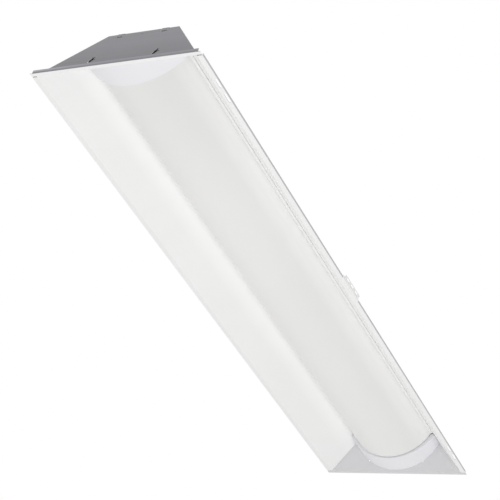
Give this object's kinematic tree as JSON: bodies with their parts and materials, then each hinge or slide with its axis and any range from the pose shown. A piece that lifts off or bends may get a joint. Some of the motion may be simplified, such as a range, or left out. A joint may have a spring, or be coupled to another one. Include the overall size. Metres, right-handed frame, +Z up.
{
  "type": "recessed troffer light",
  "caption": "Long narrow recessed ceiling light with sloped white side reflectors, a curved hinged diffuser lens and a folded sheet housing.",
  "frame": {"origin": "middle of the face, in the plane of the face flange's underside", "axes": "+X across the light, +Y along it, +Z up into the ceiling; the light faces -Z"},
  "size_m": [0.3086, 1.214, 0.105],
  "materials": {
    "galvanised": "satin galvanised sheet",
    "white_enamel": "satin white enamel",
    "diffuser": "frosted acrylic",
    "rail_aluminium": "white powder coat over extrusion",
    "bright_steel": "zinc plated",
    "magnet": "dark ferrite",
    "black_plastic": "moulded",
    "white_plastic": "moulded",
    "amber_plastic": "moulded",
    "board_white": "solder mask on board",
    "led_phosphor": "phosphor",
    "driver_metal": "white paint",
    "board_green": "solder mask on board",
    "winding": "tape",
    "can_aluminium": "drawn can",
    "wire_black": "insulation",
    "wire_white": "insulation",
    "wire_green": "insulation",
    "wire_red": "insulation",
    "wire_blue": "insulation",
    "screw_steel": "zinc plated",
    "ground_green": "green zinc"
  },
  "bodies": {
    "housing": {"back_pan": "galvanised", "near_end_plate": "galvanised", "far_end_plate": "galvanised", "left_reflector": "white_enamel", "right_reflector": "white_enamel", "near_end_band": "white_enamel", "far_end_band": "white_enamel", "led_tray": "white_enamel", "near_hinge_bracket": "bright_steel", "far_hinge_bracket": "bright_steel", "door_catches": "black_plastic", "catch_magnets": "magnet", "near_led_board": "board_white", "far_led_board": "board_white", "near_board_leds": "led_phosphor", "far_board_leds": "led_phosphor", "board_connectors": "white_plastic", "driver_base": "driver_metal", "driver_case": "driver_metal", "driver_board": "board_green", "driver_transformer": "winding", "driver_capacitors": "can_aluminium", "supply_wire_line": "wire_black", "supply_wire_neutral": "wire_white", "supply_wire_ground": "wire_green", "led_wire_positive": "wire_red", "led_wire_negative": "wire_blue", "wire_bushing": "black_plastic", "disconnect_plug": "amber_plastic", "disconnect_socket": "amber_plastic", "tray_screws": "screw_steel", "near_plate_screws": "screw_steel", "far_plate_screws": "screw_steel", "bracket_screws": "screw_steel", "board_screws": "screw_steel", "driver_screws": "screw_steel", "ground_screw": "ground_green"},
    "lens_door": {"lens": "diffuser", "left_lens_rail": "rail_aluminium", "right_lens_rail": "rail_aluminium", "hinge_pins": "bright_steel", "catch_keepers": "bright_steel"},
    "access_cover": {"access_plate": "galvanised", "access_screw": "screw_steel"},
    "left_clip": {"left_tbar_clip": "galvanised"},
    "right_clip": {"right_tbar_clip": "galvanised"}
  },
  "joints": [
    {"name": "lens_door_hinge", "type": "hinge", "parent": "housing", "child": "lens_door", "pos_m": [-0.0831, 0, 0.0634], "axis": [0, 1, 0], "range_deg": [0, 60]},
    {"name": "access_cover_hinge", "type": "hinge", "parent": "housing", "child": "access_cover", "pos_m": [0, 0.104, 0.1016], "axis": [1, 0, 0], "range_deg": [0, 60]},
    {"name": "left_clip_fold", "type": "hinge", "parent": "housing", "child": "left_clip", "pos_m": [-0.1506, 0, 0.0042], "axis": [0, -1, 0], "range_deg": [0, 56]},
    {"name": "right_clip_fold", "type": "hinge", "parent": "housing", "child": "right_clip", "pos_m": [0.1506, 0, 0.0042], "axis": [0, 1, 0], "range_deg": [0, 56]}
  ]
}
